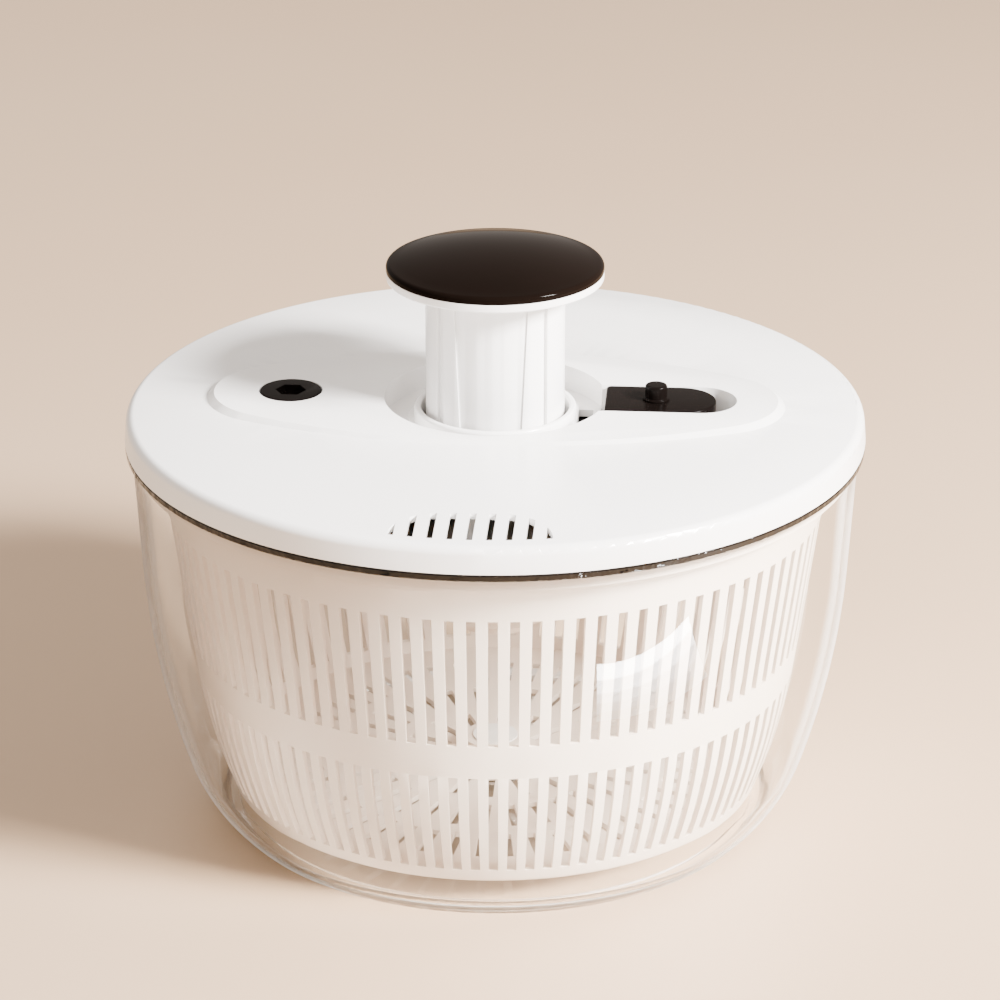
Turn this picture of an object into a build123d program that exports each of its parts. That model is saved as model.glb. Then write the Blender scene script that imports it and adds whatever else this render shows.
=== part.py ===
from build123d import *
import os
from math import cos, radians, sin, sqrt

os.makedirs("parts", exist_ok=True)

# ---------------------------------------------------------------- driving sizes (mm)
# Heights are above the table, and radii are from the object's upright axis.
LID_EDGE_Z = 138.0  # lower edge of the lid's skirt
LID_RADIUS = 127.5
PLATFORM_Z = 150.0  # flat top of the raised platform on the lid
PLATFORM_HALF_LENGTH = 97.3
PLATFORM_HALF_WIDTH = 43.5
ARM_CENTRE_X = 70.8  # centre of each rounded platform end, its slot end and the brake button
STROKE = 46.0  # travel of the plunger
KNOB_RADIUS = 37.2
TUBE_RADIUS = 23.9
TUBE_WALL = 2.4
LOCK_TRAVEL = 7.0  # outward travel of the lock slider
BRAKE_TRAVEL = 2.5
HELIX_LEAD = 36.8  # plunger travel for one turn of the spindle
GAP = 0.3  # ordinary clearance between pieces that move past each other

# ---------------------------------------------------------------- bowl
BOWL_RIM_Z = LID_EDGE_Z - GAP
BOWL_RIM_RADIUS = 125.3
BOWL_WALL = 2.4
BOWL_KNEE = (122.9, 93.0)  # where the straight upper wall starts to curve in
BOWL_CORNER = (110.0, 23.0)  # where the wide curve meets the tight bottom corner
BOWL_FOOT_RADIUS = 95.7
BOWL_FOOT_WIDTH = 3.0
BOWL_FLOOR_Z = 5.0
BOWL_FLOOR_THICKNESS = 2.4
BEAD_RADIUS = 127.2
BEAD_HEIGHT = 1.5
PIVOT_RADIUS = 5.0
PIVOT_TOP_Z = 15.0

# ---------------------------------------------------------------- basket
BASKET_BOTTOM_Z = 11.1
BASKET_RIM_Z = 128.8
BASKET_RIM_RADIUS = 115.3
BASKET_WALL = 1.8
RIM_LIP_RADIUS = 117.5
RIM_LIP_HEIGHT = 1.5
RIM_LIP_WIDTH = 3.6
BASKET_KNEE = (105.6, 56.0)
BASKET_CORNER = (97.6, 22.0)
BASKET_BOTTOM_RADIUS = 93.6
SLOT_COUNT = 100
SLOT_WIDTH = 3.2
UPPER_SLOTS_Z = (68.2, 115.9)
LOWER_SLOTS_Z = (17.0, 55.9)
BUSH_BORE_RADIUS = PIVOT_RADIUS + GAP
BUSH_RADIUS = 8.0
HUB_RADIUS = 11.0
HUB_TOP_Z = 20.5
DRIVE_RIBS = 6

# ---------------------------------------------------------------- lid
LID_TOP_EDGE_Z = 147.0
DOME_TOP_Z = 149.3
LID_WALL = 2.2
SKIRT_INNER_RADIUS = 125.2
RECESS_RADIUS = 38.3
RECESS_FLOOR_Z = 141.3
RECESS_FLOOR_THICKNESS = 2.5
LOCK_SLOT_HALF_WIDTH = 12.4
COLLAR_BORE_RADIUS = 25.5
COLLAR_RADIUS = 28.0
COLLAR_TOP_Z = 147.0
KEY_ANGLES = (42, 138, 222, 318)  # the four keys that stop the plunger turning
SCREW_CIRCLE_RADIUS = 95.0
SCREW_COUNT = 6
SCREW_RADIUS = 1.5
DRAIN_SLOTS = 9
DRAIN_PITCH = 6.35
DRAIN_SLOT_WIDTH = 2.2
DRAIN_FRONT_RADIUS = 120.7
DRAIN_CORNER_RADIUS = 17.5
DRAIN_CORNER_X = 9.0
DRAIN_CENTRE_Y = -117.8
UNDER_SLOT_WIDTH = 3.4  # slots in the underplate below the drain slots
UNDER_SLOT_Y = (-118.6, -101.0)
LATCH_WINDOW_X = 31.0  # opening beside the collar, and the thin slit outside it
LATCH_SLIT_X = 36.6
NECK_SLOT_X = (49.5, 60.5 + LOCK_TRAVEL)  # slot that the lock slider's neck travels in

# ---------------------------------------------------------------- underplate and drive plate
UNDERPLATE_Z = 130.0
UNDERPLATE_THICKNESS = 2.0
SPIGOT_RADIUS = 122.2
SPIGOT_WALL = 2.6
DRIVE_PLATE_TOP_Z = 129.2
DRIVE_PLATE_THICKNESS = 1.8
DRIVE_PLATE_RADIUS = 118.6
DRIVE_PLATE_LOCATING_RADIUS = 112.7
WELL_BORE_RADIUS = 25.2
WELL_RADIUS = 27.4
WELL_FLOOR_Z = 75.4
WELL_FLOOR_THICKNESS = 2.4
NECK_TOP_Z = 134.2
RETAINER_THICKNESS = 1.8
RETAINER_RADIUS = 33.0

# ---------------------------------------------------------------- plunger, spindle, clutch
FLANGE_BOTTOM_Z = 193.0
CAP_BOTTOM_Z = 195.9
CAP_TOP_Z = 203.2
TUBE_BOTTOM_Z = 126.0
TUBE_TOP_Z = 193.4
SPINDLE_RADIUS = 8.0
SPINDLE_BOTTOM_Z = 69.4
SPINDLE_TOP_Z = 146.0
JOURNAL_RADIUS = 4.0
FLUTE_COUNT = 4
FLUTE_DEPTH = 1.6
FLUTE_HALF_ANGLE = 17.0
NUT_BOTTOM_Z = 136.0
NUT_HEIGHT = 8.0
CLUTCH_RING_TOP_Z = 79.9
CLUTCH_OPEN_GAP = 0.6
CLUTCH_RADIUS = 14.0
CLUTCH_INNER_RADIUS = 9.5
CLUTCH_TEETH = 8
CLUTCH_TOOTH_HEIGHT = 1.5
SPRING_MEAN_RADIUS = 18.5
SPRING_WIRE_RADIUS = 0.75
SPRING_TURNS = 7
SPRING_SEAT_TOP_Z = 77.4
HUB_CAP_Z = 66.0
HUB_CAP_RADIUS = 12.0
CLIP_Z = 70.2
CLIP_THICKNESS = 1.0
BUSH_FLANGE_Z = 71.6
KNOB_SCREW_CIRCLE = 15.0
NUT_SCREW_CIRCLE = 17.0
SMALL_SCREW_RADIUS = 1.2

# ---------------------------------------------------------------- lock and brake
LATCH_Z = 136.3
LATCH_THICKNESS = 2.0
LATCH_TOOTH_X = -29.0
LATCH_NOTCH_WIDTH = 10.0
LATCH_NOTCH_DEPTH = 5.2  # centred on the tube's surface, so it goes right through the wall
NECK_LENGTH = 9.6
NECK_WIDTH = 8.0
SLIDER_INNER_X = 38.0
SLIDER_OUTER_X = 76.0
SLIDER_HALF_WIDTH = 12.0
SLIDER_BOTTOM_Z = 142.0
BUTTON_X = 55.4
BUTTON_RADIUS = 3.8
BUTTON_TOP_Z = 155.4
BRAKE_X = -ARM_CENTRE_X
BRAKE_BUTTON_RADIUS = 10.6
BRAKE_HOLE_RADIUS = 11.0
BRAKE_BUTTON_THICKNESS = 5.0
BRAKE_STEM_RADIUS = 4.0
BRAKE_PAD_RADIUS = 8.0
BRAKE_PAD_THICKNESS = 2.5
BRAKE_PAD_Z = DRIVE_PLATE_TOP_Z + GAP + BRAKE_TRAVEL
BRAKE_POCKET_ROOF_Z = 136.5


def finish(piece, name):
    """Label a finished piece and write it to its own STEP file."""
    piece.part.label = name
    export_step(piece.part, f"parts/{name}.step")


def inward(point, tangent, distance):
    """The point moved to the left of its tangent, which is into the wall of a descending outline."""
    return Vector(*point) + Vector(tangent.Y, -tangent.X) * distance


def at_height(point, tangent, height):
    """The point slid along its tangent to a height, so that a sloping wall ends in a level rim."""
    return point + tangent * ((height - point.Y) / tangent.Y)


# ---------------------------------------------------------------- bowl
# One clear moulding: bead, straight upper wall, two tangent curves, foot ring, floor and centre pivot.
with BuildPart() as bowl:
    with BuildSketch(Plane.XZ):
        with BuildLine():
            upper = Line((BOWL_RIM_RADIUS, BOWL_RIM_Z), BOWL_KNEE)
            side = TangentArc(upper @ 1, BOWL_CORNER, tangent=upper % 1)
            corner = TangentArc(side @ 1, (BOWL_FOOT_RADIUS, 0), tangent=side % 1)
            foot = Line(corner @ 1, (BOWL_FOOT_RADIUS - BOWL_FOOT_WIDTH, 0))
            step = Line(foot @ 1, (BOWL_FOOT_RADIUS - BOWL_FOOT_WIDTH, BOWL_FLOOR_Z - BOWL_FLOOR_THICKNESS))
            underside = Line(step @ 1, (0, BOWL_FLOOR_Z - BOWL_FLOOR_THICKNESS))
            axis = Line(underside @ 1, (0, BOWL_FLOOR_Z))
            inner_rim = at_height(inward(upper @ 0, upper % 0, BOWL_WALL), upper % 0, BOWL_RIM_Z)
            inner_knee = inward(upper @ 1, upper % 1, BOWL_WALL)
            inner_corner = inward(side @ 1, side % 1, BOWL_WALL)
            inner_edge = inward(corner @ 1, corner % 1, BOWL_WALL)
            floor_line = Line(axis @ 1, (inner_edge.X + 1.5, BOWL_FLOOR_Z))
            TangentArc(inner_corner, floor_line @ 1, tangent=side % 1)
            TangentArc(inner_knee, inner_corner, tangent=upper % 1)
            Line(inner_knee, inner_rim)
            Line(inner_rim, upper @ 0)
        make_face()
        with Locations((BEAD_RADIUS - 2.0, BOWL_RIM_Z - BEAD_HEIGHT / 2)):
            Rectangle(4.0, BEAD_HEIGHT)
    revolve(axis=Axis.Z)
    with BuildSketch(Plane.XY.offset(BOWL_FLOOR_Z - 0.5)):
        Circle(PIVOT_RADIUS + 4.0)
    extrude(amount=3.0)
    with BuildSketch(Plane.XY.offset(BOWL_FLOOR_Z)):
        Circle(PIVOT_RADIUS)
    extrude(amount=PIVOT_TOP_Z - BOWL_FLOOR_Z)
    chamfer(bowl.edges().filter_by(GeomType.CIRCLE).filter_by(
        lambda edge: abs(edge.center().Z - PIVOT_TOP_Z) < 0.01), length=1.0)
finish(bowl, "bowl")

# ---------------------------------------------------------------- basket
# Thin white shell with two rows of upright slots, a slotted floor, a raised hub and inner drive ribs.
with BuildPart() as basket:
    with BuildSketch(Plane.XZ):
        with BuildLine():
            b_upper = Line((BASKET_RIM_RADIUS, BASKET_RIM_Z), BASKET_KNEE)
            b_side = TangentArc(b_upper @ 1, BASKET_CORNER, tangent=b_upper % 1)
            b_low = Line(b_side @ 1, (BASKET_BOTTOM_RADIUS, BASKET_BOTTOM_Z))
            b_floor = Line(b_low @ 1, (BUSH_RADIUS, BASKET_BOTTOM_Z))
            b_hub_bore = Line(b_floor @ 1, (BUSH_RADIUS, HUB_TOP_Z))
            b_hub_top = Line(b_hub_bore @ 1, (HUB_RADIUS, HUB_TOP_Z))
            b_hub_side = Line(b_hub_top @ 1, (HUB_RADIUS + 1.0, BASKET_BOTTOM_Z + BASKET_WALL))
            inner_low = (BASKET_BOTTOM_RADIUS - BASKET_WALL, BASKET_BOTTOM_Z + BASKET_WALL)
            Line(b_hub_side @ 1, inner_low)
            b_inner_corner = inward(b_side @ 1, b_side % 1, BASKET_WALL)
            b_inner_knee = inward(b_upper @ 1, b_upper % 1, BASKET_WALL)
            b_inner_rim = at_height(inward(b_upper @ 0, b_upper % 0, BASKET_WALL), b_upper % 0, BASKET_RIM_Z)
            Line(inner_low, b_inner_corner)
            TangentArc(b_inner_knee, b_inner_corner, tangent=b_upper % 1)
            Line(b_inner_knee, b_inner_rim)
            Line(b_inner_rim, b_upper @ 0)
        make_face()
        # Small outward lip around the mouth.
        with Locations((RIM_LIP_RADIUS - RIM_LIP_WIDTH / 2, BASKET_RIM_Z - RIM_LIP_HEIGHT / 2)):
            Rectangle(RIM_LIP_WIDTH, RIM_LIP_HEIGHT)
    revolve(axis=Axis.Z)
    fillet(basket.edges().filter_by(GeomType.CIRCLE).filter_by(
        lambda edge: abs(edge.center().Z - BASKET_BOTTOM_Z) < 0.01 and edge.radius > 50), radius=3.0)
    # Drive ribs inside the mouth, which the drive plate's fingers push against.
    with BuildSketch(Plane.XY.offset(115.0)):
        with PolarLocations(110.5, DRIVE_RIBS):
            Rectangle(5.6, 2.4)
    extrude(amount=11.6)
    # Upright slots in two rows, one above the other.
    for low_z, high_z in (UPPER_SLOTS_Z, LOWER_SLOTS_Z):
        with BuildSketch(Plane.XY.offset(low_z)):
            with PolarLocations(105.0, SLOT_COUNT):
                Rectangle(26.0, SLOT_WIDTH)
        extrude(amount=high_z - low_z, mode=Mode.SUBTRACT)
    # Drain slots in the floor, in three rings.
    with BuildSketch(Plane.XY.offset(BASKET_BOTTOM_Z - 1.0)):
        for ring_radius, count in ((26.0, 16), (48.0, 32), (70.0, 48)):
            with PolarLocations(ring_radius, count):
                Rectangle(16.0, 3.0)
    extrude(amount=BASKET_WALL + 2.0, mode=Mode.SUBTRACT)
finish(basket, "basket")

# Flanged bush that turns the basket's hub on the bowl's pivot.
with BuildPart() as basket_pivot_bush:
    with BuildSketch(Plane.XZ):
        with BuildLine():
            Polyline(
                (BUSH_BORE_RADIUS, 9.6),
                (HUB_RADIUS - 0.5, 9.6),
                (HUB_RADIUS - 0.5, BASKET_BOTTOM_Z - GAP),
                (BUSH_RADIUS - 0.05, BASKET_BOTTOM_Z - GAP),
                (BUSH_RADIUS - 0.05, HUB_TOP_Z + 0.5),
                (0, HUB_TOP_Z + 0.5),
                (0, PIVOT_TOP_Z + 1.0),
                (BUSH_BORE_RADIUS, PIVOT_TOP_Z + 1.0),
                close=True,
            )
        make_face()
    revolve(axis=Axis.Z)
finish(basket_pivot_bush, "basket_pivot_bush")


# ---------------------------------------------------------------- lid cover
def platform_outline():
    """Boat-shaped outline: two wide arcs joined by round ends."""
    end_radius = PLATFORM_HALF_LENGTH - ARM_CENTRE_X
    side_radius = (ARM_CENTRE_X**2 + PLATFORM_HALF_WIDTH**2 - end_radius**2) / (
        2 * (PLATFORM_HALF_WIDTH - end_radius))
    side_centre_y = PLATFORM_HALF_WIDTH - side_radius
    reach = sqrt(ARM_CENTRE_X**2 + side_centre_y**2)
    join_x = ARM_CENTRE_X * side_radius / reach
    join_y = side_centre_y - side_centre_y * side_radius / reach
    with BuildSketch() as outline:
        with BuildLine():
            ThreePointArc((-join_x, join_y), (0, PLATFORM_HALF_WIDTH), (join_x, join_y))
            ThreePointArc((join_x, join_y), (PLATFORM_HALF_LENGTH, 0), (join_x, -join_y))
            ThreePointArc((join_x, -join_y), (0, -PLATFORM_HALF_WIDTH), (-join_x, -join_y))
            ThreePointArc((-join_x, -join_y), (-PLATFORM_HALF_LENGTH, 0), (-join_x, join_y))
        make_face()
    return outline.sketch


def draw_recess(margin):
    """Keyhole outline of the knob recess and the lock slot, grown by a margin."""
    Circle(RECESS_RADIUS + margin)
    with Locations((ARM_CENTRE_X / 2, 0)):
        SlotCenterToCenter(ARM_CENTRE_X, 2 * (LOCK_SLOT_HALF_WIDTH + margin))


with BuildPart() as lid_cover:
    with BuildSketch(Plane.XZ):
        with BuildLine():
            skirt = Line((LID_RADIUS, LID_EDGE_Z), (LID_RADIUS - 0.5, LID_TOP_EDGE_Z - 3.0))
            shoulder = TangentArc(skirt @ 1, (LID_RADIUS - 3.4, LID_TOP_EDGE_Z), tangent=skirt % 1)
            TangentArc((0, DOME_TOP_Z), shoulder @ 1, tangent=(1, 0))
            Line((0, DOME_TOP_Z), (0, DOME_TOP_Z - LID_WALL))
            under_dome = TangentArc(
                (0, DOME_TOP_Z - LID_WALL),
                (SKIRT_INNER_RADIUS, LID_TOP_EDGE_Z - LID_WALL - 0.1), tangent=(1, 0))
            Line(under_dome @ 1, (SKIRT_INNER_RADIUS, LID_EDGE_Z))
            Line((SKIRT_INNER_RADIUS, LID_EDGE_Z), skirt @ 0)
        make_face()
    revolve(axis=Axis.Z)
    # Raised platform with sloping edges.
    with BuildSketch(Plane.XY.offset(PLATFORM_Z)):
        add(platform_outline())
    extrude(amount=-3.4, taper=-48)
    # Cup under the platform that holds the recess floor, then the recess itself.
    with BuildSketch(Plane.XY.offset(RECESS_FLOOR_Z - RECESS_FLOOR_THICKNESS)):
        draw_recess(LID_WALL)
    extrude(amount=LID_TOP_EDGE_Z - RECESS_FLOOR_Z + RECESS_FLOOR_THICKNESS)
    with BuildSketch(Plane.XY.offset(RECESS_FLOOR_Z)):
        draw_recess(0)
    extrude(amount=PLATFORM_Z - RECESS_FLOOR_Z + 1.0, mode=Mode.SUBTRACT)
    # Openings in the recess floor: collar, latch windows and the slider's neck.
    with BuildSketch(Plane.XY.offset(RECESS_FLOOR_Z + 1.0)):
        Circle(COLLAR_RADIUS)
        with Locations((LATCH_WINDOW_X, 0)):
            Rectangle(5.0, 21.0)
        with Locations((LATCH_SLIT_X, 0)):
            Rectangle(1.2, 26.0)
        with Locations((sum(NECK_SLOT_X) / 2, 0)):
            Rectangle(NECK_SLOT_X[1] - NECK_SLOT_X[0], NECK_WIDTH + 1.0)
    extrude(amount=-RECESS_FLOOR_THICKNESS - 2.0, mode=Mode.SUBTRACT)
    # Sleeve that guides the brake button.
    with BuildSketch(Plane.XY.offset(140.0)):
        with Locations((BRAKE_X, 0)):
            Circle(BRAKE_HOLE_RADIUS + 2.0)
    extrude(amount=PLATFORM_Z - 141.0)
    with BuildSketch(Plane.XY.offset(139.0)):
        with Locations((BRAKE_X, 0)):
            Circle(BRAKE_HOLE_RADIUS)
    extrude(amount=PLATFORM_Z - 138.0, mode=Mode.SUBTRACT)
    # Screw bosses.
    with BuildSketch(Plane.XY.offset(UNDERPLATE_Z + UNDERPLATE_THICKNESS)):
        with PolarLocations(SCREW_CIRCLE_RADIUS, SCREW_COUNT, start_angle=30):
            Circle(4.0)
    extrude(amount=14.0)
    with BuildSketch(Plane.XY.offset(UNDERPLATE_Z + UNDERPLATE_THICKNESS)):
        with PolarLocations(SCREW_CIRCLE_RADIUS, SCREW_COUNT, start_angle=30):
            Circle(SCREW_RADIUS)
    extrude(amount=10.0, mode=Mode.SUBTRACT)
    # Drain slots near the front edge, cut off by a rounded outline.
    with BuildSketch(Plane.XY.offset(PLATFORM_Z)):
        with GridLocations(DRAIN_PITCH, 1, DRAIN_SLOTS, 1):
            with Locations((0, DRAIN_CENTRE_Y)):
                Rectangle(DRAIN_SLOT_WIDTH, 40.0)
        with Locations((0, DRAIN_CENTRE_Y)):
            SlotCenterToCenter(2 * DRAIN_CORNER_X, 2 * DRAIN_CORNER_RADIUS, mode=Mode.INTERSECT)
        Circle(DRAIN_FRONT_RADIUS, mode=Mode.INTERSECT)
    extrude(amount=-8.0, mode=Mode.SUBTRACT)
finish(lid_cover, "lid_cover")

# ---------------------------------------------------------------- lid underplate
with BuildPart() as lid_underplate:
    spigot_inner = SPIGOT_RADIUS - SPIGOT_WALL
    plate_top = UNDERPLATE_Z + UNDERPLATE_THICKNESS
    raised_z = UNDERPLATE_Z + 1.6
    with BuildSketch(Plane.XZ):
        with BuildLine():
            Polyline(
                (WELL_RADIUS + 0.8, UNDERPLATE_Z),
                (109.0, UNDERPLATE_Z),
                (110.6, raised_z),
                (spigot_inner, raised_z),
                (spigot_inner, UNDERPLATE_Z + 0.6),
                (SPIGOT_RADIUS, UNDERPLATE_Z + 0.6),
                (SPIGOT_RADIUS, LID_EDGE_Z),
                (SKIRT_INNER_RADIUS - 0.6, LID_EDGE_Z),
                (SKIRT_INNER_RADIUS - 0.6, LID_EDGE_Z + 2.0),
                (spigot_inner, LID_EDGE_Z + 2.0),
                (spigot_inner, raised_z + UNDERPLATE_THICKNESS),
                (109.8, raised_z + UNDERPLATE_THICKNESS),
                (108.2, plate_top),
                (WELL_RADIUS + 0.8, plate_top),
                close=True,
            )
        make_face()
    revolve(axis=Axis.Z)
    # Pocket for the brake pad, with a guide hole for the stem in its roof.
    with BuildSketch(Plane.XY.offset(UNDERPLATE_Z)):
        with Locations((BRAKE_X, 0)):
            Circle(BRAKE_PAD_RADIUS + 2.6)
    extrude(amount=BRAKE_POCKET_ROOF_Z - UNDERPLATE_Z)
    with BuildSketch(Plane.XY.offset(UNDERPLATE_Z)):
        with Locations((BRAKE_X, 0)):
            Circle(BRAKE_PAD_RADIUS + 1.0)
    extrude(amount=BRAKE_POCKET_ROOF_Z - 1.5 - UNDERPLATE_Z, mode=Mode.SUBTRACT)
    with BuildSketch(Plane.XY.offset(UNDERPLATE_Z)):
        with Locations((BRAKE_X, 0)):
            Circle(BRAKE_STEM_RADIUS + GAP)
        with PolarLocations(SCREW_CIRCLE_RADIUS, SCREW_COUNT, start_angle=30):
            Circle(SCREW_RADIUS)
    extrude(amount=10.0, mode=Mode.SUBTRACT)
    with BuildSketch(Plane.XY.offset(UNDERPLATE_Z)):
        with PolarLocations(SCREW_CIRCLE_RADIUS, SCREW_COUNT, start_angle=30):
            Circle(3.2)
    extrude(amount=1.2, mode=Mode.SUBTRACT)
    # Slots that let water out to the lid's drain slots.
    with BuildSketch(Plane.XY.offset(UNDERPLATE_Z)):
        with Locations((0, sum(UNDER_SLOT_Y) / 2)):
            with GridLocations(DRAIN_PITCH, 1, DRAIN_SLOTS, 1):
                Rectangle(UNDER_SLOT_WIDTH, UNDER_SLOT_Y[1] - UNDER_SLOT_Y[0])
    extrude(amount=4.0, mode=Mode.SUBTRACT)
finish(lid_underplate, "lid_underplate")

# Six pan-head screws that hold the underplate to the cover.
with BuildPart() as lid_screws:
    with BuildSketch(Plane.XY.offset(UNDERPLATE_Z)):
        with PolarLocations(SCREW_CIRCLE_RADIUS, SCREW_COUNT, start_angle=30):
            Circle(3.0)
    extrude(amount=1.2)
    with BuildSketch(Plane.XY.offset(UNDERPLATE_Z)):
        with PolarLocations(SCREW_CIRCLE_RADIUS, SCREW_COUNT, start_angle=30):
            Circle(SCREW_RADIUS)
    extrude(amount=10.0)
    with BuildSketch(Plane.XY.offset(UNDERPLATE_Z)):
        with PolarLocations(SCREW_CIRCLE_RADIUS, SCREW_COUNT, start_angle=30):
            RegularPolygon(1.2, 6)
    extrude(amount=0.8, mode=Mode.SUBTRACT)
finish(lid_screws, "lid_screws")

# ---------------------------------------------------------------- guide collar
# Ring in the recess floor that the plunger slides through, with four keys.
with BuildPart() as guide_collar:
    with BuildSketch(Plane.XZ):
        with BuildLine():
            Polyline(
                (COLLAR_BORE_RADIUS, RECESS_FLOOR_Z - 2.2),
                (COLLAR_RADIUS, RECESS_FLOOR_Z - 2.2),
                (COLLAR_RADIUS, RECESS_FLOOR_Z),
                (COLLAR_RADIUS + 2.2, RECESS_FLOOR_Z),
                (COLLAR_RADIUS + 2.2, RECESS_FLOOR_Z + 1.2),
                (COLLAR_RADIUS, RECESS_FLOOR_Z + 1.2),
                (COLLAR_RADIUS, COLLAR_TOP_Z - 0.6),
                (COLLAR_RADIUS - 0.6, COLLAR_TOP_Z),
                (COLLAR_BORE_RADIUS + 0.6, COLLAR_TOP_Z),
                (COLLAR_BORE_RADIUS, COLLAR_TOP_Z - 0.6),
                close=True,
            )
        make_face()
    revolve(axis=Axis.Z)
    with BuildSketch(Plane.XY.offset(RECESS_FLOOR_Z - 2.2)):
        for key_angle in KEY_ANGLES:
            with PolarLocations(24.4, 1, start_angle=key_angle):
                Rectangle(3.0, 2.4)
    extrude(amount=COLLAR_TOP_Z - 1.6 - RECESS_FLOOR_Z + 2.2)
    # The collar's flange gives way to the latch window beside it.
    with BuildSketch(Plane.XY.offset(RECESS_FLOOR_Z)):
        with Locations((LATCH_WINDOW_X, 0)):
            Rectangle(5.0, 21.0)
    extrude(amount=1.2, mode=Mode.SUBTRACT)
finish(guide_collar, "guide_collar")

# ---------------------------------------------------------------- plunger tube
with BuildPart() as plunger_tube:
    with BuildSketch(Plane.XY.offset(TUBE_BOTTOM_Z)):
        Circle(TUBE_RADIUS)
        Circle(TUBE_RADIUS - TUBE_WALL, mode=Mode.SUBTRACT)
        for key_angle in KEY_ANGLES:
            with PolarLocations(TUBE_RADIUS, 1, start_angle=key_angle):
                Rectangle(2.6, 3.0, mode=Mode.SUBTRACT)
    extrude(amount=TUBE_TOP_Z - TUBE_BOTTOM_Z)
    # Inner ledge that the drive nut is screwed to.
    with BuildSketch(Plane.XY.offset(NUT_BOTTOM_Z + NUT_HEIGHT)):
        Circle(TUBE_RADIUS - TUBE_WALL + 0.4)
        Circle(12.0, mode=Mode.SUBTRACT)
        with PolarLocations(NUT_SCREW_CIRCLE, 3):
            Circle(SMALL_SCREW_RADIUS, mode=Mode.SUBTRACT)
    extrude(amount=2.5)
    # Top plate that the knob flange is screwed to.
    with BuildSketch(Plane.XY.offset(TUBE_TOP_Z - 2.0)):
        Circle(TUBE_RADIUS - TUBE_WALL + 0.4)
        Circle(9.5, mode=Mode.SUBTRACT)
        with PolarLocations(KNOB_SCREW_CIRCLE, 3, start_angle=60):
            Circle(SMALL_SCREW_RADIUS, mode=Mode.SUBTRACT)
    extrude(amount=2.0)
    # Shallow tapered panels on the front and back of the tube.
    with BuildPart(mode=Mode.PRIVATE) as panel_ring:
        with BuildSketch(Plane.XZ.offset(-40.0)):
            with BuildLine():
                Polyline((-9.6, TUBE_BOTTOM_Z), (9.6, TUBE_BOTTOM_Z), (12.6, FLANGE_BOTTOM_Z - 0.6),
                         (-12.6, FLANGE_BOTTOM_Z - 0.6), close=True)
            make_face()
        extrude(amount=80.0)
        with BuildSketch(Plane.XY.offset(TUBE_BOTTOM_Z)):
            Circle(TUBE_RADIUS + 1.0)
            Circle(TUBE_RADIUS - 0.6, mode=Mode.SUBTRACT)
        extrude(amount=TUBE_TOP_Z - TUBE_BOTTOM_Z, mode=Mode.INTERSECT)
    add(panel_ring.part, mode=Mode.SUBTRACT)
    # Notches that the latch tooth enters, one with the plunger up and one with it down.
    for notch_z in (LATCH_Z, LATCH_Z + STROKE):
        with BuildSketch(Plane.XY.offset(notch_z - 0.5)):
            with Locations((-TUBE_RADIUS, 0)):
                Rectangle(LATCH_NOTCH_DEPTH, LATCH_NOTCH_WIDTH)
        extrude(amount=LATCH_THICKNESS + 1.0, mode=Mode.SUBTRACT)
finish(plunger_tube, "plunger_tube")

# ---------------------------------------------------------------- knob
with BuildPart() as knob_flange:
    with BuildSketch(Plane.XZ):
        with BuildLine():
            Polyline((9.0, TUBE_TOP_Z), (34.6, TUBE_TOP_Z), (34.6, FLANGE_BOTTOM_Z),
                     (36.4, FLANGE_BOTTOM_Z))
            TangentArc((KNOB_RADIUS, FLANGE_BOTTOM_Z + 0.8), (36.4, FLANGE_BOTTOM_Z), tangent=(0, -1))
            Polyline((KNOB_RADIUS, FLANGE_BOTTOM_Z + 0.8), (KNOB_RADIUS, CAP_BOTTOM_Z),
                     (9.0, CAP_BOTTOM_Z), (9.0, TUBE_TOP_Z))
        make_face()
    revolve(axis=Axis.Z)
    with BuildSketch(Plane.XY.offset(TUBE_TOP_Z)):
        with PolarLocations(KNOB_SCREW_CIRCLE, 3, start_angle=60):
            Circle(SMALL_SCREW_RADIUS)
    extrude(amount=5.0, mode=Mode.SUBTRACT)
    # Ring groove that the cap's snap rim presses into.
    with BuildSketch(Plane.XY.offset(CAP_BOTTOM_Z)):
        Circle(32.5)
        Circle(31.0, mode=Mode.SUBTRACT)
    extrude(amount=-1.5, mode=Mode.SUBTRACT)
finish(knob_flange, "knob_flange")

with BuildPart() as knob_cap:
    with BuildSketch(Plane.XZ):
        with BuildLine():
            cap_side = Line((KNOB_RADIUS, CAP_BOTTOM_Z), (KNOB_RADIUS, CAP_BOTTOM_Z + 1.2))
            cap_edge = TangentArc(cap_side @ 1, (KNOB_RADIUS - 1.7, CAP_BOTTOM_Z + 2.7), tangent=(0, 1))
            TangentArc((0, CAP_TOP_Z), cap_edge @ 1, tangent=(1, 0))
            Polyline((0, CAP_TOP_Z), (0, CAP_TOP_Z - 2.0), (12.0, CAP_TOP_Z - 2.4),
                     (31.0, CAP_BOTTOM_Z + 2.0), (31.0, CAP_BOTTOM_Z - 1.4), (32.5, CAP_BOTTOM_Z - 1.4),
                     (32.5, CAP_BOTTOM_Z), (KNOB_RADIUS, CAP_BOTTOM_Z))
        make_face()
    revolve(axis=Axis.Z)
finish(knob_cap, "knob_cap")


def draw_screw_group(head_z, tip_z, circle_radius, start_angle):
    """Three small screws on a circle, heads at head_z and tips at tip_z."""
    direction = 1 if tip_z > head_z else -1
    for radius, length in ((2.2, 1.2), (SMALL_SCREW_RADIUS, abs(tip_z - head_z))):
        with BuildSketch(Plane.XY.offset(head_z)) as discs:
            with PolarLocations(circle_radius, 3, start_angle=start_angle):
                Circle(radius)
        extrude(discs.sketch, amount=direction * length)


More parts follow.
